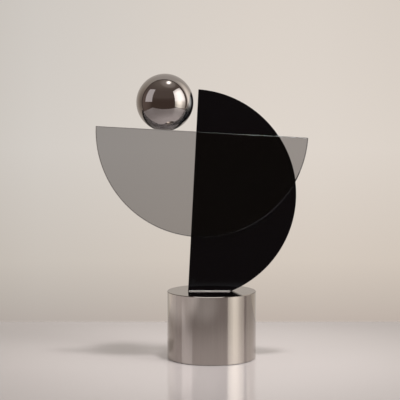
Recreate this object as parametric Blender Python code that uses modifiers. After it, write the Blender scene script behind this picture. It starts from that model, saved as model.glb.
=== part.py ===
"""Crystal geometric ornament: two half-disc plates and a ball on a round steel drum.

Units are metres, +Z is up, and the front faces -Y. The origin is the centre of the drum's underside.
"""

from math import asin, cos, pi, radians, sin, sqrt

import bmesh
import bpy
from mathutils import Vector

# Drum
DRUM_DIAMETER = 0.0935
DRUM_HEIGHT = 0.071
DRUM_CHAMFER = 0.0008
DRUM_SIDES = 128

# Plates: both are cut from one size of disc and one thickness of crystal
DISC_DIAMETER = 0.220
PLATE_THICKNESS = 0.010
PLATE_ARRIS = 0.0008
PLATE_ARC_STEPS = 90
GLUE_GAP = 0.0003

# Black plate: upright, its straight edge at the left with the top leaning to the right
BLACK_LEAN = radians(2.95)
BLACK_CENTRE_X = -0.0217
BLACK_CENTRE_ABOVE_DRUM = 0.1018
BLACK_EDGE_PAST_CENTRE = 0.0022

# Grey plate: its straight edge is up and falls to the right
GREY_SLOPE = radians(3.15)
GREY_CENTRE_X = -0.0101
GREY_CENTRE_Z = 0.2391
GREY_EDGE_BELOW_CENTRE = 0.0007

# Ball: seated on the grey plate's straight edge
BALL_DIAMETER = 0.0593
BALL_FLAT_DEPTH = 0.0016
BALL_ALONG_EDGE = -0.0400
BALL_SEGMENTS = 56
BALL_ARC_STEPS = 28

# Driven values
DISC_RADIUS = DISC_DIAMETER / 2
PLATE_PITCH = PLATE_THICKNESS + GLUE_GAP
GREY_PLANE_Y = -PLATE_PITCH
BLACK_CENTRE_Z = DRUM_HEIGHT + BLACK_CENTRE_ABOVE_DRUM
MERGE_DISTANCE = 0.00001


def clear_scene():
    """Remove every object the file opened with."""
    for obj in list(bpy.data.objects):
        bpy.data.objects.remove(obj, do_unlink=True)


def part_collection(name):
    """Make the collection that holds the ornament's pieces."""
    collection = bpy.data.collections.new(name)
    bpy.context.scene.collection.children.link(collection)
    return collection


def finish_material(name, colour, roughness, metallic, alpha=1.0):
    """A plain Principled finish."""
    material = bpy.data.materials.new(name)
    material.use_nodes = True
    shader = material.node_tree.nodes["Principled BSDF"]
    shader.inputs["Base Color"].default_value = (*colour, 1.0)
    shader.inputs["Roughness"].default_value = roughness
    shader.inputs["Metallic"].default_value = metallic
    shader.inputs["Alpha"].default_value = alpha
    return material


def polished_steel():
    """Bright stainless steel with a fine polish, for the drum."""
    return finish_material("polished_steel", (0.56, 0.54, 0.52), 0.12, 1.0)


def mirror_steel():
    """Steel buffed to a mirror, for the ball."""
    return finish_material("mirror_steel", (0.60, 0.58, 0.57), 0.03, 1.0)


def black_crystal():
    """Opaque black crystal with polished faces."""
    return finish_material("black_crystal", (0.006, 0.006, 0.007), 0.04, 0.0)


def smoke_crystal():
    """Smoke-grey crystal that the eye sees through."""
    return finish_material("smoke_crystal", (0.30, 0.29, 0.28), 0.04, 0.0, alpha=0.5)


def arc_points(centre, radius, start, end, steps):
    """Points on an arc from one angle to another, both ends included."""
    turn = (end - start) / steps
    return [
        (centre[0] + radius * cos(start + turn * i), centre[1] + radius * sin(start + turn * i))
        for i in range(steps + 1)
    ]


def black_outline():
    """Outline of the black plate in X and Z, counter-clockwise, from its lower left corner.

    The chord that makes the straight edge passes BLACK_EDGE_PAST_CENTRE to the right of the
    disc's centre. The plate ends level, one glue gap above the drum.
    """
    centre = (BLACK_CENTRE_X, BLACK_CENTRE_Z)
    foot_z = DRUM_HEIGHT + GLUE_GAP
    drop = centre[1] - foot_z
    corner_x = centre[0] + (BLACK_EDGE_PAST_CENTRE - drop * sin(BLACK_LEAN)) / cos(BLACK_LEAN)
    foot_angle = -asin(drop / DISC_RADIUS)
    top_angle = pi / 2 - BLACK_LEAN - asin(BLACK_EDGE_PAST_CENTRE / DISC_RADIUS)
    arc = arc_points(centre, DISC_RADIUS, foot_angle, top_angle, PLATE_ARC_STEPS)
    return [(corner_x, foot_z)] + arc


def grey_outline():
    """Outline of the grey plate in X and Z, counter-clockwise from its left corner."""
    centre = (GREY_CENTRE_X, GREY_CENTRE_Z)
    dip = asin(GREY_EDGE_BELOW_CENTRE / DISC_RADIUS)
    left_angle = pi - GREY_SLOPE + dip
    right_angle = 2 * pi - GREY_SLOPE - dip
    return arc_points(centre, DISC_RADIUS, left_angle, right_angle, PLATE_ARC_STEPS)


def crystal_plate(name, outline, plane_y, material, collection):
    """A flat plate standing in the XZ plane, with a small polished arris on every edge."""
    curve = bpy.data.curves.new(name, "CURVE")
    curve.dimensions = "2D"
    curve.fill_mode = "BOTH"
    curve.extrude = PLATE_THICKNESS / 2
    spline = curve.splines.new("POLY")
    spline.points.add(len(outline) - 1)
    for point, (x, z) in zip(spline.points, outline):
        point.co = (x, z, 0.0, 1.0)
    spline.use_cyclic_u = True
    curve.materials.append(material)

    plate = bpy.data.objects.new(name, curve)
    plate.location = (0.0, plane_y, 0.0)
    plate.rotation_euler = (pi / 2, 0.0, 0.0)
    collection.objects.link(plate)

    weld = plate.modifiers.new("join_caps", "WELD")
    weld.merge_threshold = MERGE_DISTANCE
    arris = plate.modifiers.new("arris", "BEVEL")
    arris.width = PLATE_ARRIS
    arris.segments = 1
    arris.limit_method = "ANGLE"
    arris.angle_limit = radians(60)
    return plate


def base_drum(collection):
    """The round foot: a solid drum with a chamfer on both rims."""
    bpy.ops.mesh.primitive_cylinder_add(
        vertices=DRUM_SIDES,
        radius=DRUM_DIAMETER / 2,
        depth=DRUM_HEIGHT,
        location=(0.0, 0.0, DRUM_HEIGHT / 2),
    )
    drum = bpy.context.object
    drum.name = "base_drum"
    drum.data.name = "base_drum"
    for owner in list(drum.users_collection):
        owner.objects.unlink(drum)
    collection.objects.link(drum)
    drum.data.materials.append(polished_steel())
    drum.data.shade_smooth()
    drum.data.set_sharp_from_angle(angle=radians(30))

    chamfer = drum.modifiers.new("rim_chamfer", "BEVEL")
    chamfer.width = DRUM_CHAMFER
    chamfer.segments = 1
    chamfer.limit_method = "ANGLE"
    chamfer.angle_limit = radians(60)
    return drum


def black_half_disc(collection):
    """The upright plate that carries the rest."""
    return crystal_plate("black_half_disc", black_outline(), 0.0, black_crystal(), collection)


def grey_half_disc(collection):
    """The bowl-shaped plate glued on the front of the black one."""
    return crystal_plate(
        "grey_half_disc", grey_outline(), GREY_PLANE_Y, smoke_crystal(), collection
    )


def ball_profile():
    """Half section of the ball from its top pole, down the outside, to the flat and its centre."""
    radius = BALL_DIAMETER / 2
    flat_z = BALL_FLAT_DEPTH - radius
    flat_radius = sqrt(radius**2 - flat_z**2)
    flat_angle = asin(flat_z / radius)
    arc = arc_points((0.0, 0.0), radius, pi / 2, flat_angle, BALL_ARC_STEPS)
    return [(0.0, radius)] + arc[1:-1] + [(flat_radius, flat_z), (0.0, flat_z)]


def ball_seat():
    """Centre of the ball, above the middle of the grey plate's straight edge."""
    along = Vector((cos(GREY_SLOPE), 0.0, -sin(GREY_SLOPE)))
    outward = Vector((sin(GREY_SLOPE), 0.0, cos(GREY_SLOPE)))
    disc_centre = Vector((GREY_CENTRE_X, GREY_PLANE_Y, GREY_CENTRE_Z))
    height = BALL_DIAMETER / 2 - BALL_FLAT_DEPTH + GLUE_GAP - GREY_EDGE_BELOW_CENTRE
    return disc_centre + along * BALL_ALONG_EDGE + outward * height


def ball(collection):
    """The turned ball, its flat lying along the grey plate's edge."""
    mesh = bpy.data.meshes.new("ball")
    profile = bmesh.new()
    points = [profile.verts.new((x, 0.0, z)) for x, z in ball_profile()]
    for upper, lower in zip(points, points[1:]):
        profile.edges.new((upper, lower))
    profile.to_mesh(mesh)
    profile.free()
    mesh.materials.append(mirror_steel())

    turned = bpy.data.objects.new("ball", mesh)
    turned.location = ball_seat()
    turned.rotation_euler = (0.0, GREY_SLOPE, 0.0)
    collection.objects.link(turned)

    screw = turned.modifiers.new("turn", "SCREW")
    screw.axis = "Z"
    screw.angle = 2 * pi
    screw.steps = BALL_SEGMENTS
    screw.render_steps = BALL_SEGMENTS
    screw.use_merge_vertices = True
    screw.merge_threshold = MERGE_DISTANCE
    screw.use_smooth_shade = True
    return turned


def main():
    """Build the ornament."""
    clear_scene()
    collection = part_collection("geometric_ornament")
    base_drum(collection)
    black_half_disc(collection)
    grey_half_disc(collection)
    ball(collection)


main()
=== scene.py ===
"""Looks of the crystal geometric ornament: steel drum, black and smoke crystal plates, mirror ball.

Laid out as a Blender add-on and run as a script. Everything is in metres, +Z is up and the front
faces -Y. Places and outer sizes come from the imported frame.
"""

from math import asin, cos, pi, radians, sin, tan

import bmesh
import bpy
from bpy.props import FloatProperty, FloatVectorProperty, IntProperty, PointerProperty
from mathutils import Matrix, Vector


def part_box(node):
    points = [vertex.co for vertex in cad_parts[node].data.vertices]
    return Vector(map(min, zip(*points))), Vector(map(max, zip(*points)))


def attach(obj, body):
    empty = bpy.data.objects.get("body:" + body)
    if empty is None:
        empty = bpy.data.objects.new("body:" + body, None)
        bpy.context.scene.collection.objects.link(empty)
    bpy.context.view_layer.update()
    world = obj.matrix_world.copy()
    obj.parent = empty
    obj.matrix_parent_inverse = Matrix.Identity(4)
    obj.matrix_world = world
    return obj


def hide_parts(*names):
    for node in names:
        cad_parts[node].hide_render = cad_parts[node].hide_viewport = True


bl_info = {
    "name": "Crystal geometric ornament",
    "version": (1, 0, 0),
    "blender": (4, 5, 0),
    "location": "3D View > Sidebar > Ornament",
    "description": "Makes the ornament's drum, plates and ball, their finishes and a small studio",
    "category": "Add Mesh",
}

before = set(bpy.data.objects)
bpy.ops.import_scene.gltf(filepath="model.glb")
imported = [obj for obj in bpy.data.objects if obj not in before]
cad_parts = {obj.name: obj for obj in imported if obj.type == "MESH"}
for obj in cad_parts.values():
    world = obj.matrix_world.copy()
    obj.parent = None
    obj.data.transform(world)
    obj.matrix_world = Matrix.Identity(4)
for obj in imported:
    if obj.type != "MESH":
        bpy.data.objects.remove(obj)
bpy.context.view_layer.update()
DRUM_LOW, DRUM_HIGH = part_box("base_drum")
BLACK_LOW, BLACK_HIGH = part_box("black_half_disc")
GREY_LOW, GREY_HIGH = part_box("grey_half_disc")
BALL_LOW, BALL_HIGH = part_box("ball")

MM = 0.001
SHARP_ANGLE = radians(30)

# Shares of a chamfer's height: how wide the drum's are, and how far every chamfer's corners are eased
RIM_CHAMFER_WIDTH = 0.8
CHAMFER_EASE = 0.1

# A higher power takes the ground facet's full height closer to the foot's corners
FACET_POWER = 80

CRYSTAL_IOR = 1.5
CRYSTAL_GLINT = (0.80, 0.92, 1.0)
CLEAR = (1.0, 1.0, 1.0)
DARK = (0.0, 0.0, 0.0)

# Colours of the lamps and cards
CARD_WHITE = (1.0, 0.98, 0.96)
WARM_WHITE = (1.0, 0.95, 0.91)


# ---------------------------------------------------------------- sizes and colours


class DrumSettings(bpy.types.PropertyGroup):
    """Sizes and finish of the steel drum."""

    rim: FloatProperty(
        name="Rim chamfer",
        description="Height of the buffed chamfer on both rims",
        default=0.6 * MM,
        min=0.1 * MM,
        unit="LENGTH",
    )
    segments: IntProperty(
        name="Segments",
        description="Facets round the drum",
        default=288,
        min=64,
    )
    side_colour: FloatVectorProperty(
        name="Side steel",
        description="Reflected colour of the grained side",
        subtype="COLOR",
        size=3,
        default=(0.490, 0.455, 0.430),
        min=0.0,
        max=1.0,
    )
    top_colour: FloatVectorProperty(
        name="Top steel",
        description="Reflected colour of the lapped top",
        subtype="COLOR",
        size=3,
        default=(0.305, 0.274, 0.253),
        min=0.0,
        max=1.0,
    )


class PlateSettings(bpy.types.PropertyGroup):
    """Sizes and colours of the two crystal plates, which are cut from one size of disc."""

    disc_diameter: FloatProperty(
        name="Disc diameter",
        description="Diameter of the disc that both plates are cut from",
        default=220 * MM,
        min=50 * MM,
        unit="LENGTH",
    )
    arris: FloatProperty(
        name="Arris",
        description="Size of the polished arris along every edge",
        default=0.58 * MM,
        min=0.1 * MM,
        unit="LENGTH",
    )
    arris_slope: FloatProperty(
        name="Arris slope",
        description="Angle between the grey plate's face and its flat arris",
        default=radians(45),
        subtype="ANGLE",
    )
    arc_steps: IntProperty(
        name="Arc steps",
        description="Straight pieces that an arc is drawn with",
        default=220,
        min=24,
    )
    black_lean: FloatProperty(
        name="Black plate lean",
        description="Angle from upright of the black plate's straight edge",
        default=radians(2.95),
        subtype="ANGLE",
    )
    black_past_centre: FloatProperty(
        name="Black edge past centre",
        description="Distance from the disc's centre to the black plate's straight edge",
        default=2.2 * MM,
        unit="LENGTH",
    )
    ground_height: FloatProperty(
        name="Ground facet",
        description="Height of the ground facet in the middle of the black plate's foot",
        default=0.95 * MM,
        unit="LENGTH",
    )
    grey_slope: FloatProperty(
        name="Grey plate slope",
        description="Fall to the right of the grey plate's straight edge",
        default=radians(3.15),
        subtype="ANGLE",
    )
    grey_below_centre: FloatProperty(
        name="Grey edge below centre",
        description="Distance from the disc's centre down to the grey plate's straight edge",
        default=0.7 * MM,
        unit="LENGTH",
    )
    black_colour: FloatVectorProperty(
        name="Black crystal",
        description="Body colour of the opaque crystal",
        subtype="COLOR",
        size=3,
        default=(0.0010, 0.0008, 0.0012),
        min=0.0,
        max=1.0,
    )
    smoke_colour: FloatVectorProperty(
        name="Smoke crystal",
        description="Tint that light takes on its way through the grey plate",
        subtype="COLOR",
        size=3,
        default=(0.300, 0.300, 0.318),
        min=0.0,
        max=1.0,
    )
    smoke_density: FloatProperty(
        name="Smoke density",
        description="How strongly the grey plate darkens with depth, for each metre",
        default=118.0,
        min=0.0,
    )
    ground_colour: FloatVectorProperty(
        name="Ground crystal",
        description="Colour of the ground facet",
        subtype="COLOR",
        size=3,
        default=(0.80, 0.80, 0.80),
        min=0.0,
        max=1.0,
    )


class BallSettings(bpy.types.PropertyGroup):
    """Sizes and finish of the mirror ball."""

    diameter: FloatProperty(
        name="Diameter",
        description="Diameter of the ball",
        default=59.3 * MM,
        min=10 * MM,
        unit="LENGTH",
    )
    flat_depth: FloatProperty(
        name="Flat depth",
        description="Height of the cap ground away where the ball sits",
        default=1.6 * MM,
        unit="LENGTH",
    )
    segments: IntProperty(
        name="Segments",
        description="Facets round the ball",
        default=224,
        min=48,
    )
    colour: FloatVectorProperty(
        name="Mirror steel",
        description="Reflected colour of the ball",
        subtype="COLOR",
        size=3,
        default=(0.425, 0.400, 0.395),
        min=0.0,
        max=1.0,
    )


class StageSettings(bpy.types.PropertyGroup):
    """Floor, backdrop, lights and camera."""

    floor_colour: FloatVectorProperty(
        name="Floor",
        description="Colour of the smooth pale floor",
        subtype="COLOR",
        size=3,
        default=(0.400, 0.383, 0.392),
        min=0.0,
        max=1.0,
    )
    floor_back: FloatProperty(
        name="Floor behind",
        description="How far the floor runs behind the ornament",
        default=0.228,
        unit="LENGTH",
    )
    floor_front: FloatProperty(
        name="Floor in front",
        description="How far the floor runs in front of the ornament",
        default=0.590,
        unit="LENGTH",
    )
    floor_side: FloatProperty(
        name="Floor beside",
        description="How far the floor runs to each side",
        default=0.700,
        unit="LENGTH",
    )
    window_brightness: FloatProperty(
        name="Right window",
        description="Brightness of the large window at the right",
        default=2.5,
        min=0.0,
    )
    side_window_brightness: FloatProperty(
        name="Left window",
        description="Brightness of the dim window at the left",
        default=0.65,
        min=0.0,
    )
    lamp_brightness: FloatProperty(
        name="Overhead lamp",
        description="Brightness of the lamp overhead",
        default=4.0,
        min=0.0,
    )
    camera_place: FloatVectorProperty(
        name="Camera place",
        description="Where the camera stands",
        subtype="TRANSLATION",
        size=3,
        default=(-0.0122, -1.4000, 0.2772),
    )
    camera_dip: FloatProperty(
        name="Camera dip",
        description="How far below level the camera looks",
        default=radians(4.51),
        subtype="ANGLE",
    )
    lens: FloatProperty(
        name="Lens",
        description="Focal length on a sensor 36 mm wide",
        default=120.6,
        min=10.0,
    )


# ---------------------------------------------------------------- nodes


class NodeSheet:
    """Adds nodes to one node tree and joins them."""

    def __init__(self, tree):
        self.tree = tree
        tree.nodes.clear()

    def add(self, kind, inputs=None, **settings):
        """One node. An input given as a socket is joined, and any other value is set on it."""
        node = self.tree.nodes.new(kind)
        for key, value in settings.items():
            setattr(node, key, value)
        for key, value in (inputs or {}).items():
            self.feed(node.inputs[key], value)
        return node

    def feed(self, socket, value):
        """Join or set one input."""
        if isinstance(value, bpy.types.NodeSocket):
            self.tree.links.new(value, socket)
        else:
            socket.default_value = value

    def maths(self, operation, first, second=0.0):
        """One sum on two numbers."""
        return self.add("ShaderNodeMath", {0: first, 1: second}, operation=operation).outputs[0]

    def product(self, *numbers):
        """Numbers multiplied together."""
        total = numbers[0]
        for number in numbers[1:]:
            total = self.maths("MULTIPLY", total, number)
        return total

    def grey(self, share):
        """A grey from black at 0 to white at 1."""
        return self.blend(share, opaque(DARK), opaque(CLEAR))

    def remap(self, value, low, high, to_low=0.0, to_high=1.0, ease=True):
        """A number moved from one range into another, and held at its ends."""
        inputs = {
            "Value": value,
            "From Min": low,
            "From Max": high,
            "To Min": to_low,
            "To Max": to_high,
        }
        kind = "SMOOTHSTEP" if ease else "LINEAR"
        node = self.add("ShaderNodeMapRange", inputs, interpolation_type=kind)
        return node.outputs["Result"]

    def blend(self, share, first, second):
        """A colour between two colours."""
        node = self.add("ShaderNodeMix", data_type="RGBA")
        self.feed(node.inputs[0], share)
        self.feed(node.inputs[6], first)
        self.feed(node.inputs[7], second)
        return node.outputs[2]

    def ramp(self, value, stops):
        """A colour looked up between (place, colour) stops."""
        node = self.add("ShaderNodeValToRGB", {"Fac": value})
        elements = node.color_ramp.elements
        while len(elements) < len(stops):
            elements.new(1.0)
        for element, (place, colour) in zip(elements, stops):
            element.position = place
            element.color = opaque(colour)
        return node.outputs["Color"]

    def place(self, stretch=(1.0, 1.0, 1.0)):
        """The surface point in metres, scaled along each axis."""
        point = self.add("ShaderNodeTexCoord").outputs["Object"]
        inputs = {"Vector": point, "Scale": stretch}
        return self.add("ShaderNodeMapping", inputs).outputs["Vector"]

    def noise(self, vector, scale, detail=2.0, roughness=0.5):
        """Soft random values from 0 to 1."""
        inputs = {"Vector": vector, "Scale": scale, "Detail": detail, "Roughness": roughness}
        return self.add("ShaderNodeTexNoise", inputs).outputs["Fac"]

    def bump(self, height, strength, distance):
        """A normal pushed about by a height."""
        inputs = {"Height": height, "Strength": strength, "Distance": distance}
        return self.add("ShaderNodeBump", inputs).outputs["Normal"]

    def axes(self, vector):
        """The X, Y and Z of a vector."""
        split = self.add("ShaderNodeSeparateXYZ", {"Vector": vector})
        return [split.outputs[axis] for axis in "XYZ"]


def opaque(colour, brightness=1.0):
    """A colour with full alpha."""
    return (*[channel * brightness for channel in colour], 1.0)


def finish_sheet(name):
    """A new material with a Principled shader: (material, node sheet, shader)."""
    material = bpy.data.materials.new(name)
    material.use_nodes = True
    sheet = NodeSheet(material.node_tree)
    shader = sheet.add("ShaderNodeBsdfPrincipled")
    sheet.output = sheet.add("ShaderNodeOutputMaterial", {"Surface": shader.outputs[0]})
    return material, sheet, shader


def marked(sheet, rough, scale, share):
    """A roughness with faint patches left by hands, where up to share is added to it."""
    patches = sheet.noise(sheet.place(), scale, detail=3.0, roughness=0.6)
    return sheet.maths("ADD", rough, sheet.remap(patches, 0.52, 0.72, 0.0, share))


def varied(sheet, share, colour, low, high):
    """A colour between two brightnesses of itself."""
    return sheet.blend(share, opaque(colour, low), opaque(colour, high))


# ---------------------------------------------------------------- finishes


def grained_steel(drum):
    """Bright steel with a fine upright grain, for the drum's side."""
    material, sheet, shader = finish_sheet("grained_steel")
    upright = sheet.place(stretch=(1.0, 1.0, 0.012))
    fine = sheet.noise(upright, scale=1500.0, detail=3.0)
    broad = sheet.noise(upright, scale=210.0, detail=2.0)
    streaks = sheet.maths("ADD", sheet.product(fine, 0.45), sheet.product(broad, 0.55))
    tone = sheet.remap(streaks, 0.35, 0.65)
    sheet.feed(shader.inputs["Base Color"], varied(sheet, tone, drum.side_colour, 0.955, 1.04))
    rough = sheet.remap(fine, 0.3, 0.7, 0.05, 0.09)
    sheet.feed(shader.inputs["Roughness"], marked(sheet, rough, scale=32.0, share=0.05))
    sheet.feed(shader.inputs["Normal"], sheet.bump(streaks, strength=0.05, distance=0.2 * MM))
    sheet.feed(shader.inputs["Metallic"], 1.0)
    sheet.feed(shader.inputs["Anisotropic"], 0.3)
    turn = sheet.add("ShaderNodeTangent", direction_type="RADIAL", axis="Z")
    sheet.feed(shader.inputs["Tangent"], turn.outputs["Tangent"])
    return material


def lapped_steel(drum):
    """Flat, nearly mirror-bright steel for the drum's top and underside."""
    material, sheet, shader = finish_sheet("lapped_steel")
    cloud = sheet.noise(sheet.place(), scale=45.0, detail=3.0)
    sheet.feed(shader.inputs["Base Color"], varied(sheet, cloud, drum.top_colour, 0.96, 1.04))
    swirl = sheet.noise(sheet.place(), scale=1800.0, detail=2.0)
    rough = sheet.remap(swirl, 0.3, 0.7, 0.06, 0.10)
    sheet.feed(shader.inputs["Roughness"], marked(sheet, rough, scale=60.0, share=0.06))
    sheet.feed(shader.inputs["Normal"], sheet.bump(swirl, strength=0.02, distance=0.05 * MM))
    sheet.feed(shader.inputs["Metallic"], 1.0)
    return material


def rim_steel(drum):
    """Buffed steel on the rims' chamfers, dulled in spots where it has been knocked."""
    material, sheet, shader = finish_sheet("rim_steel")
    spots = sheet.noise(sheet.place(), scale=420.0, detail=3.0)
    worn = sheet.remap(spots, 0.58, 0.70)
    sheet.feed(shader.inputs["Base Color"], varied(sheet, worn, drum.side_colour, 0.52, 0.64))
    sheet.feed(shader.inputs["Roughness"], sheet.remap(worn, 0.0, 1.0, 0.08, 0.24))
    sheet.feed(shader.inputs["Metallic"], 1.0)
    return material


def black_crystal(plates):
    """Opaque black crystal with polished faces that keep faint handling marks."""
    material, sheet, shader = finish_sheet("black_crystal")
    cloud = sheet.noise(sheet.place(), scale=18.0, detail=3.0)
    sheet.feed(shader.inputs["Base Color"], varied(sheet, cloud, plates.black_colour, 0.85, 1.2))
    polish = sheet.noise(sheet.place(), scale=260.0, detail=2.0)
    rough = sheet.remap(polish, 0.3, 0.7, 0.03, 0.05)
    sheet.feed(shader.inputs["Roughness"], marked(sheet, rough, scale=38.0, share=0.05))
    sheet.feed(shader.inputs["IOR"], CRYSTAL_IOR)
    sheet.feed(shader.inputs["Specular IOR Level"], 0.5)
    sheet.feed(shader.inputs["Specular Tint"], opaque(CRYSTAL_GLINT))
    return material


def ground_crystal(plates):
    """Finely ground, unpolished crystal on the black plate's foot."""
    material, sheet, shader = finish_sheet("ground_crystal")
    grit = sheet.noise(sheet.place(), scale=2400.0, detail=3.0)
    sheet.feed(shader.inputs["Base Color"], varied(sheet, grit, plates.ground_colour, 0.82, 1.12))
    sheet.feed(shader.inputs["Roughness"], sheet.remap(grit, 0.3, 0.7, 0.42, 0.58))
    sheet.feed(shader.inputs["Normal"], sheet.bump(grit, strength=0.25, distance=0.05 * MM))
    return material


def smoke_crystal(plates):
    """Smoke-grey crystal that shows what is behind it."""
    material, sheet, shader = finish_sheet("smoke_crystal")
    cloud = sheet.noise(sheet.place(), scale=14.0, detail=2.0)
    sheet.feed(shader.inputs["Base Color"], varied(sheet, cloud, CLEAR, 0.97, 1.0))
    polish = sheet.noise(sheet.place(), scale=30.0, detail=3.0)
    sheet.feed(shader.inputs["Roughness"], sheet.remap(polish, 0.50, 0.75, 0.0, 0.03))
    sheet.feed(shader.inputs["IOR"], CRYSTAL_IOR)
    sheet.feed(shader.inputs["Specular Tint"], opaque(CRYSTAL_GLINT))
    sheet.feed(shader.inputs["Transmission Weight"], 1.0)
    inputs = {"Color": opaque(plates.smoke_colour), "Density": plates.smoke_density}
    smoke = sheet.add("ShaderNodeVolumeAbsorption", inputs)
    sheet.feed(sheet.output.inputs["Volume"], smoke.outputs[0])
    return material


def mirror_steel(ball):
    """Steel buffed to a mirror, with hairline buffing marks and faint handling marks."""
    material, sheet, shader = finish_sheet("mirror_steel")
    cloud = sheet.noise(sheet.place(), scale=60.0, detail=2.0)
    sheet.feed(shader.inputs["Base Color"], varied(sheet, cloud, ball.colour, 0.985, 1.015))
    hairs = sheet.noise(sheet.place(stretch=(1.0, 1.0, 9.0)), scale=520.0, detail=2.0)
    rough = sheet.remap(hairs, 0.35, 0.75, 0.035, 0.060)
    sheet.feed(shader.inputs["Roughness"], marked(sheet, rough, scale=70.0, share=0.04))
    sheet.feed(shader.inputs["Normal"], sheet.bump(hairs, strength=0.01, distance=0.02 * MM))
    sheet.feed(shader.inputs["Metallic"], 1.0)
    return material


# ---------------------------------------------------------------- shapes


def arc_points(centre, radius, start, end, steps):
    """Points on an arc from one angle to another, both ends included."""
    turn = (end - start) / steps
    return [
        Vector((centre[0] + radius * cos(start + turn * i), centre[1] + radius * sin(start + turn * i)))
        for i in range(steps + 1)
    ]


def show(name, mesh, node):
    """Put a finished mesh in the scene, riding on the frame in place of its CAD node."""
    piece = bpy.data.objects.new(name, mesh)
    bpy.context.scene.collection.objects.link(piece)
    mesh.shade_smooth()
    mesh.set_sharp_from_angle(angle=SHARP_ANGLE)
    level = piece.modifiers.new("level_shading", "WEIGHTED_NORMAL")
    level.mode = "FACE_AREA"
    level.weight = 100
    level.keep_sharp = True
    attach(piece, "root")
    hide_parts(node)


def turned_mesh(name, profile, segments, finish_of=None):
    """A solid turned about Z from (radius, height) points that start and end on the axis."""
    shape = bmesh.new()
    rings = []
    for radius, height in profile:
        if radius == 0.0:
            rings.append([shape.verts.new((0.0, 0.0, height))])
            continue
        turns = [2 * pi * i / segments for i in range(segments)]
        rings.append([shape.verts.new((radius * cos(t), radius * sin(t), height)) for t in turns])
    for band, (low, high) in enumerate(zip(rings, rings[1:])):
        for i in range(segments):
            after = (i + 1) % segments
            corners = [low[i % len(low)], low[after % len(low)]]
            corners += [high[after % len(high)], high[i % len(high)]]
            face = shape.faces.new(list(dict.fromkeys(corners)))
            face.material_index = finish_of[band] if finish_of else 0
    bmesh.ops.recalc_face_normals(shape, faces=shape.faces)
    mesh = bpy.data.meshes.new(name)
    shape.to_mesh(mesh)
    shape.free()
    return mesh


def rounding(radius, steps):
    """(Depth below the face, distance in from the edge) round a quarter-round arris."""
    turns = [pi / 2 * i / steps for i in range(steps + 1)]
    return [(radius * (1 - cos(t)), radius * (1 - sin(t))) for t in turns]


def chamfer(inward, downward):
    """(Depth below the face, distance in from the edge) down a flat chamfer with eased corners."""
    ease = downward * CHAMFER_EASE
    slope = downward / inward
    return [
        (0.0, inward + ease),
        (ease * slope / 2, inward - ease / 2),
        (downward - ease * slope / 2, ease / 2),
        (downward + ease, 0.0),
    ]


def eased(before, corner, after, reach):
    """Three points that take the point off a corner."""
    first = corner + (before - corner).normalized() * reach
    last = corner + (after - corner).normalized() * reach
    middle = corner / 2 + (first + last) / 4
    return [first, middle, last]


def layered_plate(name, front, thickness, layers, outline_at, ground=()):
    """A plate lofted through its thickness.

    layers are (depth, inset) from the front face to the middle, and outline_at gives the outline for
    one of them. ground holds the places in the outline whose edge takes the second finish.
    """
    back = [(thickness - depth, inset) for depth, inset in reversed(layers)]
    shape = bmesh.new()
    rings = []
    for depth, inset in layers + back:
        outline = outline_at(min(depth, thickness - depth), inset)
        rings.append([shape.verts.new((x, front + depth, z)) for x, z in outline])
    shape.faces.new(rings[0])
    shape.faces.new(rings[-1])
    count = len(rings[0])
    for near, far in zip(rings, rings[1:]):
        for i in range(count):
            after = (i + 1) % count
            face = shape.faces.new((near[i], near[after], far[after], far[i]))
            face.material_index = 1 if i in ground else 0
    bmesh.ops.recalc_face_normals(shape, faces=shape.faces)
    mesh = bpy.data.meshes.new(name)
    shape.to_mesh(mesh)
    shape.free()
    return mesh


# ---------------------------------------------------------------- pieces


class ORNAMENT_OT_drum(bpy.types.Operator):
    """Make the steel drum that carries the ornament"""

    bl_idname = "ornament.drum"
    bl_label = "Make drum"

    def execute(self, context):
        drum = context.scene.ornament_drum
        radius = (DRUM_HIGH.x - DRUM_LOW.x) / 2
        height = DRUM_HIGH.z - DRUM_LOW.z
        if drum.rim * 2 > height:
            raise ValueError("the drum's rim chamfers are larger than the drum")
        rim = chamfer(drum.rim * RIM_CHAMFER_WIDTH, drum.rim)
        foot_rim = [(radius - inset, depth) for depth, inset in rim]
        top_rim = [(radius - inset, height - depth) for depth, inset in reversed(rim)]
        side_steps = 12
        side_start = rim[-1][0]
        rise = (height - 2 * side_start) / side_steps
        side = [(radius, side_start + rise * i) for i in range(1, side_steps)]
        flat_steps = 6
        flat = (radius - rim[0][1]) / flat_steps
        underside = [(flat * i, 0.0) for i in range(flat_steps)]
        top = [(flat * i, height) for i in reversed(range(flat_steps))]
        profile = underside + foot_rim + side + top_rim + top
        grained, lapped, buffed = range(3)
        flat_finish = [lapped] * flat_steps
        rim_finish = [buffed] * (len(rim) - 1)
        finishes = flat_finish + rim_finish + [grained] * side_steps + rim_finish + flat_finish
        mesh = turned_mesh("steel_drum", profile, drum.segments, finishes)
        mesh.transform(Matrix.Translation(((DRUM_LOW + DRUM_HIGH) / 2).xy.to_3d()))
        for material in (grained_steel(drum), lapped_steel(drum), rim_steel(drum)):
            mesh.materials.append(material)
        show("steel_drum", mesh, "base_drum")
        return {"FINISHED"}


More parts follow.
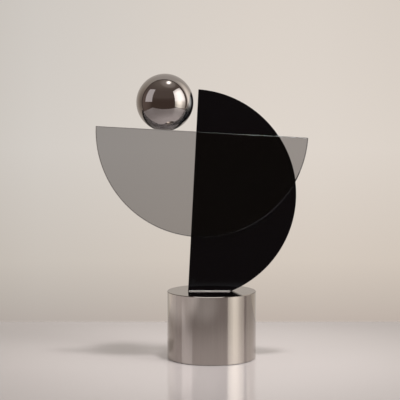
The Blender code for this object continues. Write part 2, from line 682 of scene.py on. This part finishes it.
def black_outline(plates, steps, depth, inset):
    """Outline of the black plate at one depth, counter-clockwise from its lower left corner."""
    disc = plates.disc_diameter / 2
    lean = plates.black_lean
    top_angle = pi / 2 - lean - asin(plates.black_past_centre / disc)
    centre = Vector((BLACK_HIGH.x - disc, BLACK_HIGH.z - disc * sin(top_angle)))
    radius = disc - inset
    past = plates.black_past_centre + inset

    def foot_level(share):
        crown = 1 - abs(2 * share - 1) ** FACET_POWER
        facet = plates.ground_height * crown
        slope = max(0.0, 1 - depth / plates.ground_height)
        return DRUM_HIGH.z + max(inset, facet * slope)

    left_drop = centre.y - foot_level(0.0)
    left = centre.x + (past - left_drop * sin(lean)) / cos(lean)
    foot_angle = -asin((centre.y - foot_level(1.0)) / radius)
    right = centre.x + radius * cos(foot_angle)
    foot = [
        Vector((left + (right - left) * i / steps, foot_level(i / steps))) for i in range(steps + 1)
    ]
    arc_end = pi / 2 - lean - asin(past / radius)
    arc = arc_points(centre, radius, foot_angle, arc_end, plates.arc_steps)
    reach = plates.arris
    return (
        eased(arc[-1], foot[0], foot[1], reach)
        + foot[1:-1]
        + eased(foot[-2], foot[-1], arc[1], reach)
        + arc[1:-1]
        + eased(arc[-2], arc[-1], foot[0], reach)
    )


def grey_outline(plates, inset):
    """Outline of the grey plate for one inset, counter-clockwise from its left corner."""
    disc = plates.disc_diameter / 2
    centre = Vector((GREY_LOW.x + disc, GREY_LOW.z + disc))
    radius = disc - inset
    dip = asin((plates.grey_below_centre + inset) / radius)
    left_angle = pi - plates.grey_slope + dip
    right_angle = 2 * pi - plates.grey_slope - dip
    arc = arc_points(centre, radius, left_angle, right_angle, plates.arc_steps)
    reach = plates.arris
    return (
        eased(arc[-1], arc[0], arc[1], reach)
        + arc[1:-1]
        + eased(arc[-2], arc[-1], arc[0], reach)
    )


class ORNAMENT_OT_plates(bpy.types.Operator):
    """Make the black and the smoke-grey crystal plates"""

    bl_idname = "ornament.plates"
    bl_label = "Make plates"

    def execute(self, context):
        plates = context.scene.ornament_plates
        if plates.arris * 2 > BLACK_HIGH.y - BLACK_LOW.y:
            raise ValueError("the plates' arris is larger than their thickness")
        self.black_plate(plates)
        self.grey_plate(plates)
        return {"FINISHED"}

    def black_plate(self, plates):
        """The upright plate, with a ground facet along its foot."""
        foot_steps = 40
        arris_steps = 4
        last_of_corner = 2
        foot = range(last_of_corner, last_of_corner + foot_steps)
        facet = plates.ground_height
        facet_layers = [((plates.arris + facet) / 2, 0.0), (facet, 0.0)]
        layers = rounding(plates.arris, arris_steps) + facet_layers

        def outline_at(depth, inset):
            return black_outline(plates, foot_steps, depth, inset)

        thickness = BLACK_HIGH.y - BLACK_LOW.y
        mesh = layered_plate("black_plate", BLACK_LOW.y, thickness, layers, outline_at, foot)
        mesh.materials.append(black_crystal(plates))
        mesh.materials.append(ground_crystal(plates))
        show("black_plate", mesh, "black_half_disc")

    def grey_plate(self, plates):
        """The see-through plate glued on the front of the black one."""

        def outline_at(depth, inset):
            return grey_outline(plates, inset)

        layers = chamfer(plates.arris, plates.arris * tan(plates.arris_slope))
        thickness = GREY_HIGH.y - GREY_LOW.y
        mesh = layered_plate("smoke_plate", GREY_LOW.y, thickness, layers, outline_at)
        mesh.materials.append(smoke_crystal(plates))
        show("smoke_plate", mesh, "grey_half_disc")


class ORNAMENT_OT_ball(bpy.types.Operator):
    """Make the mirror ball that sits on the grey plate"""

    bl_idname = "ornament.ball"
    bl_label = "Make ball"

    def execute(self, context):
        ball = context.scene.ornament_ball
        slope = context.scene.ornament_plates.grey_slope
        radius = ball.diameter / 2
        if ball.flat_depth >= radius:
            raise ValueError("the ball's flat is deeper than its radius")
        flat = ball.flat_depth - radius
        arc = arc_points((0.0, 0.0), radius, asin(flat / radius), pi / 2, ball.segments // 2)
        profile = [(0.0, flat)] + [tuple(point) for point in arc[:-1]] + [(0.0, radius)]
        mesh = turned_mesh("mirror_ball", profile, ball.segments)
        middle = (BALL_LOW + BALL_HIGH) / 2
        centre = Vector((middle.x, middle.y, BALL_HIGH.z - radius))
        mesh.transform(Matrix.Translation(centre) @ Matrix.Rotation(slope, 4, "Y"))
        mesh.materials.append(mirror_steel(ball))
        show("mirror_ball", mesh, "ball")
        return {"FINISHED"}


# ---------------------------------------------------------------- stage


def studio_floor(stage):
    """A smooth pale table top that fades out softly at its edges."""
    left, right = -stage.floor_side, stage.floor_side
    front, back = -stage.floor_front, stage.floor_back
    corners = [(left, front, 0.0), (right, front, 0.0), (right, back, 0.0), (left, back, 0.0)]
    mesh = bpy.data.meshes.new("studio_floor")
    mesh.from_pydata(corners, [], [(0, 1, 2, 3)])
    floor = bpy.data.objects.new("studio_floor", mesh)
    bpy.context.scene.collection.objects.link(floor)
    mesh.materials.append(polished_floor(stage))


def polished_floor(stage):
    """Smooth pale stone, see-through along its outer edge."""
    material, sheet, shader = finish_sheet("polished_floor")
    cloud = sheet.noise(sheet.place(), scale=3.0, detail=3.0)
    sheet.feed(shader.inputs["Base Color"], varied(sheet, cloud, stage.floor_colour, 0.98, 1.02))
    sheet.feed(shader.inputs["Roughness"], sheet.remap(cloud, 0.3, 0.7, 0.07, 0.10))
    sheet.feed(shader.inputs["IOR"], 1.5)
    x, y, _ = sheet.axes(sheet.place())
    far_fade = 0.012
    near_fade = 0.060
    across = sheet.maths("ABSOLUTE", x)
    sides = sheet.remap(across, stage.floor_side - near_fade, stage.floor_side, 1.0, 0.0)
    back = sheet.remap(y, stage.floor_back - far_fade, stage.floor_back, 1.0, 0.0)
    front = sheet.remap(y, -stage.floor_front, near_fade - stage.floor_front)
    sheet.feed(shader.inputs["Alpha"], sheet.product(sides, back, front))
    return material


def backdrop_glow(sheet, side, rise):
    """The pale backdrop, which darkens towards the floor and a little to the left."""
    by_rise = [
        (-0.32, (0.400, 0.355, 0.330)),
        (-0.165, (0.532, 0.460, 0.408)),
        (-0.152, (0.570, 0.500, 0.441)),
        (-0.123, (0.657, 0.582, 0.511)),
        (-0.040, (0.733, 0.667, 0.604)),
        (0.08, (0.697, 0.634, 0.574)),
    ]
    by_side = [
        (0.00, (0.840, 0.865, 0.885)),
        (0.10, (0.885, 0.912, 0.935)),
        (0.27, (0.925, 0.945, 0.962)),
        (0.43, (0.965, 0.975, 0.982)),
        (0.66, (1.000, 1.000, 1.000)),
        (0.80, (1.000, 1.000, 1.000)),
        (1.00, (0.970, 0.965, 0.960)),
    ]
    lowest = by_rise[0][0]
    highest = by_rise[-1][0]
    upright_stops = [((at - lowest) / (highest - lowest), tone) for at, tone in by_rise]
    upright = sheet.ramp(sheet.remap(rise, lowest, highest, ease=False), upright_stops)
    reach = 0.15
    sideways = sheet.ramp(sheet.remap(side, -reach, reach, ease=False), by_side)
    both = sheet.add("ShaderNodeVectorMath", {0: upright, 1: sideways}, operation="MULTIPLY")
    return both.outputs[0]


def room_glow(sheet, heading, side, rise):
    """The dim, warm room in front, paler overhead and round the lamp."""
    by_rise = [
        (0.00, (0.092, 0.063, 0.050)),
        (0.17, (0.100, 0.070, 0.057)),
        (0.34, (0.148, 0.112, 0.094)),
        (0.70, (0.155, 0.118, 0.100)),
        (0.82, (0.175, 0.140, 0.118)),
        (0.95, (0.225, 0.185, 0.155)),
        (1.00, (0.300, 0.255, 0.220)),
    ]
    room = sheet.ramp(rise, by_rise)
    warm_side = sheet.remap(sheet.maths("ABSOLUTE", side), 0.75, 1.0, 0.0, 0.9)
    room = sheet.blend(warm_side, room, opaque((0.205, 0.152, 0.130)))
    lamp_heading = at_bearing(62, 0.33, 1.5).normalized()
    facing = sheet.add("ShaderNodeVectorMath", {0: heading, 1: lamp_heading}, operation="DOT_PRODUCT")
    halo = sheet.remap(facing.outputs["Value"], cos(radians(26)), cos(radians(9)))
    return sheet.blend(halo, room, opaque((0.400, 0.350, 0.310)))


def wall_glow(sheet, side):
    """The pale wall behind, brightest to the right of its middle."""
    by_side = [
        (0.00, (0.200, 0.165, 0.140)),
        (0.05, (0.300, 0.250, 0.210)),
        (0.12, (0.430, 0.365, 0.305)),
        (0.20, (0.500, 0.450, 0.390)),
        (0.40, (0.575, 0.525, 0.475)),
        (0.65, (0.600, 0.550, 0.500)),
        (0.85, (0.580, 0.520, 0.450)),
        (1.00, (0.480, 0.420, 0.360)),
    ]
    return sheet.ramp(sheet.remap(side, -1.0, 1.0, ease=False), by_side)


def studio_room():
    """A pale backdrop for the eye, and for reflections a pale wall behind a dim, warm room."""
    world = bpy.data.worlds.new("studio_room")
    bpy.context.scene.world = world
    world.use_nodes = True
    sheet = NodeSheet(world.node_tree)
    heading = sheet.add("ShaderNodeTexCoord").outputs["Generated"]
    side, back, rise = sheet.axes(heading)

    # The room's front part ends, and the wall begins, past this share of the way back
    edge = sheet.maths(
        "ADD",
        sheet.remap(side, -0.5, 0.5, 0.250, 0.190),
        sheet.remap(rise, 0.60, 0.95, 0.0, 0.060),
    )
    beyond = sheet.maths("SUBTRACT", back, edge)
    corner = sheet.remap(sheet.maths("ABSOLUTE", beyond), 0.01, 0.10)
    room = sheet.blend(corner, opaque((0.050, 0.036, 0.030)), room_glow(sheet, heading, side, rise))
    seen = sheet.blend(sheet.remap(beyond, -0.006, 0.006), room, wall_glow(sheet, side))

    # Straight rays, and those that only pass through the crystal, meet the backdrop
    path = sheet.add("ShaderNodeLightPath")
    turned = sheet.maths("SUBTRACT", path.outputs["Ray Depth"], path.outputs["Transmission Depth"])
    straight = sheet.maths("LESS_THAN", turned, 1.5)
    glow = sheet.blend(straight, seen, backdrop_glow(sheet, side, rise))
    light = sheet.add("ShaderNodeBackground", {"Color": glow})
    sheet.add("ShaderNodeOutputWorld", {"Surface": light.outputs[0]})


def soft_panel(name, place, target, width, height, brightness, colour):
    """A glowing panel that reflections show and the camera doesn't."""
    lamp = bpy.data.lights.new(name, "AREA")
    lamp.shape = "RECTANGLE"
    lamp.size = width
    lamp.size_y = height
    lamp.energy = brightness * pi * width * height
    lamp.color = colour
    panel = bpy.data.objects.new(name, lamp)
    panel.location = place
    panel.rotation_euler = (Vector(target) - Vector(place)).to_track_quat("-Z", "Y").to_euler()
    panel.visible_camera = False
    panel.visible_transmission = False
    bpy.context.scene.collection.objects.link(panel)
    return panel


def at_bearing(bearing, distance, height):
    """A point at a bearing in degrees from the front, positive to the right."""
    return Vector((distance * sin(radians(bearing)), -distance * cos(radians(bearing)), height))


def window(name, facing, distance, first, last, sill, head, brightness, colour):
    """A window in a wall that faces the ornament squarely at one bearing.

    It runs between two other bearings and from its sill to its head.
    """
    start = distance * tan(radians(first - facing))
    end = distance * tan(radians(last - facing))
    square_on = at_bearing(facing, distance, (sill + head) / 2)
    along = at_bearing(facing + 90, 1.0, 0.0)
    place = square_on + along * (start + end) / 2
    inward = place - square_on.xy.to_3d()
    return soft_panel(name, place, inward, end - start, head - sill, brightness, colour)


def light_across(panel, glow_at):
    """Give a panel a glow that changes over it. glow_at makes it from the places across and up."""
    panel.data.use_nodes = True
    sheet = NodeSheet(panel.data.node_tree)
    spot = sheet.add("ShaderNodeNewGeometry").outputs["Parametric"]
    across, up, _ = sheet.axes(spot)
    light = sheet.add("ShaderNodeEmission", {"Color": glow_at(sheet, across, up)})
    sheet.add("ShaderNodeOutputLight", {"Surface": light.outputs[0]})


def right_window(stage):
    """The large window, bright above and softened by a blind that fades out below the sill."""
    facing = 75
    first, last = 41, 91
    foot, head = -0.25, 1.88
    panel = window(
        "right_window",
        facing=facing,
        distance=1.5,
        first=first,
        last=last,
        sill=foot,
        head=head,
        brightness=stage.window_brightness,
        colour=(1.0, 0.975, 0.935),
    )
    above_sill = [
        (41, 0.66),
        (48, 0.84),
        (56, 0.96),
        (66, 1.00),
        (78, 0.92),
        (84, 0.78),
        (91, 0.50),
    ]
    below_sill = [
        (41, 0.32),
        (47, 0.56),
        (52, 0.78),
        (57, 0.90),
        (63, 0.94),
        (70, 0.80),
        (77, 0.48),
        (84, 0.34),
        (91, 0.24),
    ]
    blind_tint = (1.0, 0.985, 0.91)
    start = tan(radians(first - facing))
    width = tan(radians(last - facing)) - start

    def up_to(height):
        return (height - foot) / (head - foot)

    def by_bearing(sheet, across, shares, tint):
        stops = [
            ((tan(radians(bearing - facing)) - start) / width, [share * part for part in tint])
            for bearing, share in shares
        ]
        return sheet.ramp(across, stops)

    def glow_at(sheet, across, up):
        shade = by_bearing(sheet, across, below_sill, blind_tint)
        below = sheet.remap(up, up_to(-0.10), up_to(0.27), 0.66, 1.0)
        dimmed = sheet.blend(below, opaque(DARK), shade)
        clear = sheet.remap(up, up_to(0.22), up_to(0.56))
        shown = sheet.blend(clear, dimmed, by_bearing(sheet, across, above_sill, CLEAR))
        top = sheet.remap(up, up_to(1.30), up_to(1.84), 1.0, 0.55)
        return sheet.blend(top, opaque(DARK), shown)

    light_across(panel, glow_at)


def overhead_lamp(stage):
    """A round lamp with a bright middle and a dim surround."""
    lamp = soft_panel(
        "overhead_lamp",
        place=at_bearing(76, 0.25, 1.74),
        target=(0.0, 0.0, 0.2),
        width=0.66,
        height=0.48,
        brightness=stage.lamp_brightness,
        colour=(1.0, 0.96, 0.90),
    )
    lamp.data.shape = "ELLIPSE"
    shares = [(0.00, 1.00), (0.28, 1.00), (0.45, 0.45), (0.60, 0.22), (0.80, 0.10), (1.00, 0.00)]

    def glow_at(sheet, across, up):
        squares = []
        for part in (across, up):
            from_middle = sheet.maths("SUBTRACT", sheet.product(part, 2.0), 1.0)
            squares.append(sheet.maths("POWER", sheet.maths("ABSOLUTE", from_middle), 2.0))
        reach = sheet.maths("SQRT", sheet.maths("ADD", squares[0], squares[1]))
        return sheet.ramp(reach, [(at, (share, share, share)) for at, share in shares])

    light_across(lamp, glow_at)


def lit_wall(stage):
    """The patch of the wall behind, to the right, that the large window shines on."""
    left, right = 0.20, 1.40
    low, high = 0.12, 1.00
    middle = Vector(((left + right) / 2, stage.floor_back, (low + high) / 2))
    panel = soft_panel(
        "lit_wall",
        place=middle,
        target=middle + Vector((0.0, -1.0, 0.0)),
        width=right - left,
        height=high - low,
        brightness=1.1,
        colour=(1.0, 0.92, 0.83),
    )

    def glow_at(sheet, across, up):
        sideways = sheet.product(
            sheet.remap(across, 0.37, 0.54),
            sheet.remap(across, 1.0, 0.75, 0.3, 1.0),
        )
        upward = sheet.product(sheet.remap(up, 0.0, 0.16), sheet.remap(up, 1.0, 0.35))
        return sheet.grey(sheet.product(sideways, upward))

    light_across(panel, glow_at)


def linked_pieces(name, pieces):
    """A collection of the named pieces, for a lamp to be linked to."""
    collection = bpy.data.collections.new(name)
    for piece in pieces:
        collection.objects.link(bpy.data.objects[piece])
    return collection


def pool_lamp(name, watts, shades):
    """One part of the lamp that pools light round the foot, shaded by the named pieces only."""
    pool = bpy.data.lights.new(name, "SPOT")
    pool.energy = watts
    pool.color = WARM_WHITE
    pool.shadow_soft_size = 0.10
    pool.spot_size = radians(20)
    pool.spot_blend = 1.0
    lamp = bpy.data.objects.new(name, pool)
    lamp.location = at_bearing(34.4, 0.408, 1.74)
    aim = Vector((0.01, 0.0, 0.0)) - lamp.location
    lamp.rotation_euler = aim.to_track_quat("-Z", "Y").to_euler()
    lamp.visible_glossy = False
    lamp.light_linking.blocker_collection = linked_pieces(name + "_shades", shades)
    bpy.context.scene.collection.objects.link(lamp)


def fill(name, **shape):
    """A soft panel that lights only dull surfaces."""
    panel = soft_panel(name, **shape)
    panel.visible_glossy = False
    return panel


def fills():
    """Lamps that light only dull surfaces.

    The pool lamp is in two parts, and the grey plate shades only the stronger one, so its shadow is
    about two thirds as deep as those of the other pieces.
    """
    opaque_pieces = ("steel_drum", "black_plate", "mirror_ball")
    pool_lamp("pool_lamp", 32.0, opaque_pieces)
    pool_lamp("pool_lamp_through_grey", 72.0, opaque_pieces + ("smoke_plate",))
    fill(
        "low_fill",
        place=Vector((0.0, -1.9, 0.25)),
        target=(0.0, 0.0, 0.07),
        width=0.6,
        height=0.3,
        brightness=33.0,
        colour=CARD_WHITE,
    )
    fill(
        "side_fill",
        place=at_bearing(60, 1.6, 1.10),
        target=(0.0, 0.0, 0.0),
        width=0.45,
        height=0.45,
        brightness=17.0,
        colour=(1.0, 0.94, 0.885),
    )
    left_fill = fill(
        "left_fill",
        place=Vector((-0.70, 0.50, 0.90)),
        target=(-0.20, 0.20, 0.0),
        width=0.45,
        height=0.45,
        brightness=7.0,
        colour=WARM_WHITE,
    )
    left_fill.data.use_shadow = False


def fade_edges(panel, start, end, foot, full):
    """Fade a panel's glow in by its start, out from its end on, and up from its foot.

    All four are shares of the panel's width or height.
    """

    def glow_at(sheet, across, up):
        sides = sheet.product(sheet.remap(across, 0.0, start), sheet.remap(across, 1.0, end))
        return sheet.grey(sheet.product(sides, sheet.remap(up, foot, full)))

    light_across(panel, glow_at)


def card(name, piece, fades=None, **shape):
    """A glowing card, out of sight, that lights one piece and nothing else."""
    panel = soft_panel(name, **shape)
    if fades:
        fade_edges(panel, **fades)
    panel.light_linking.receiver_collection = linked_pieces(name + "_lights", (piece,))


def drum_cards():
    """Three cards standing round the foot and one hanging overhead, for the drum to mirror."""
    card(
        "low_card",
        "steel_drum",
        fades={"start": 0.15, "end": 0.6, "foot": 0.0, "full": 0.45},
        place=Vector((-0.20, -0.10, 0.035)),
        target=(0.0, -0.10, 0.035),
        width=0.70,
        height=0.07,
        brightness=0.32,
        colour=(1.0, 0.95, 0.92),
    )
    card(
        "front_card",
        "steel_drum",
        fades={"start": 0.55, "end": 0.6, "foot": 0.0, "full": 0.32},
        place=at_bearing(-20, 0.20, 0.045),
        target=(0.0, 0.0, 0.045),
        width=0.40,
        height=0.07,
        brightness=0.155,
        colour=CARD_WHITE,
    )
    card(
        "back_card",
        "steel_drum",
        fades={"start": 0.4, "end": 0.6, "foot": 0.1, "full": 0.5},
        place=at_bearing(-118, 0.17, 0.035),
        target=(0.0, 0.0, 0.035),
        width=0.20,
        height=0.05,
        brightness=0.08,
        colour=CARD_WHITE,
    )
    card(
        "rim_card",
        "steel_drum",
        place=Vector((-0.08, -0.28, 0.87)),
        target=(-0.08, -0.28, 0.0),
        width=0.80,
        height=0.36,
        brightness=2.1,
        colour=CARD_WHITE,
    )


def studio_lights(stage):
    """Windows at the right and left, a lamp overhead, the lit wall, dull fills and hidden cards."""
    right_window(stage)
    window(
        "left_window",
        facing=-45,
        distance=2.17,
        first=-82.5,
        last=-51.5,
        sill=0.36,
        head=2.61,
        brightness=stage.side_window_brightness,
        colour=(1.0, 0.97, 0.98),
    )
    overhead_lamp(stage)
    lit_wall(stage)
    fills()
    drum_cards()
    card(
        "plate_card",
        "black_plate",
        fades={"start": 0.4, "end": 0.7, "foot": 0.0, "full": 0.5},
        place=at_bearing(56, 1.4, 0.22),
        target=(0.0, 0.0, 0.22),
        width=0.80,
        height=0.60,
        brightness=9.0,
        colour=(1.0, 0.93, 0.86),
    )


def studio_camera(stage):
    """A camera at the height of the ball, looking slightly down."""
    lens = bpy.data.cameras.new("studio_camera")
    lens.sensor_width = 36.0
    lens.lens = stage.lens
    camera = bpy.data.objects.new("studio_camera", lens)
    camera.location = stage.camera_place
    camera.rotation_euler = (pi / 2 - stage.camera_dip, 0.0, 0.0)
    bpy.context.scene.collection.objects.link(camera)
    bpy.context.scene.camera = camera


class ORNAMENT_OT_stage(bpy.types.Operator):
    """Make the floor, the backdrop, the lights and the camera"""

    bl_idname = "ornament.stage"
    bl_label = "Make stage"

    def execute(self, context):
        stage = context.scene.ornament_stage
        studio_floor(stage)
        studio_room()
        studio_lights(stage)
        studio_camera(stage)
        context.scene.view_settings.view_transform = "Standard"
        return {"FINISHED"}


# ---------------------------------------------------------------- panel and running


class ORNAMENT_PT_panel(bpy.types.Panel):
    """Sizes, colours and buttons of the ornament"""

    bl_idname = "ORNAMENT_PT_panel"
    bl_label = "Geometric ornament"
    bl_space_type = "VIEW_3D"
    bl_region_type = "UI"
    bl_category = "Ornament"

    def draw(self, context):
        for operator, group in STEPS:
            column = self.layout.column(align=True)
            settings = getattr(context.scene, group)
            for name in settings.__annotations__:
                column.prop(settings, name)
            column.operator(operator)


STEPS = (
    ("ornament.drum", "ornament_drum"),
    ("ornament.plates", "ornament_plates"),
    ("ornament.ball", "ornament_ball"),
    ("ornament.stage", "ornament_stage"),
)
GROUPS = {
    "ornament_drum": DrumSettings,
    "ornament_plates": PlateSettings,
    "ornament_ball": BallSettings,
    "ornament_stage": StageSettings,
}
CLASSES = (
    ORNAMENT_OT_drum,
    ORNAMENT_OT_plates,
    ORNAMENT_OT_ball,
    ORNAMENT_OT_stage,
    ORNAMENT_PT_panel,
)


def register():
    """Register the settings, the operators and the panel."""
    for name, group in GROUPS.items():
        bpy.utils.register_class(group)
        setattr(bpy.types.Scene, name, PointerProperty(type=group))
    for kind in CLASSES:
        bpy.utils.register_class(kind)


def unregister():
    """Take everything that register added away again."""
    for kind in reversed(CLASSES):
        bpy.utils.unregister_class(kind)
    for name, group in GROUPS.items():
        delattr(bpy.types.Scene, name)
        bpy.utils.unregister_class(group)


def main():
    """Make every piece and the stage."""
    register()
    bpy.ops.ornament.drum()
    bpy.ops.ornament.plates()
    bpy.ops.ornament.ball()
    bpy.ops.ornament.stage()


if __name__ == "__main__":
    main()
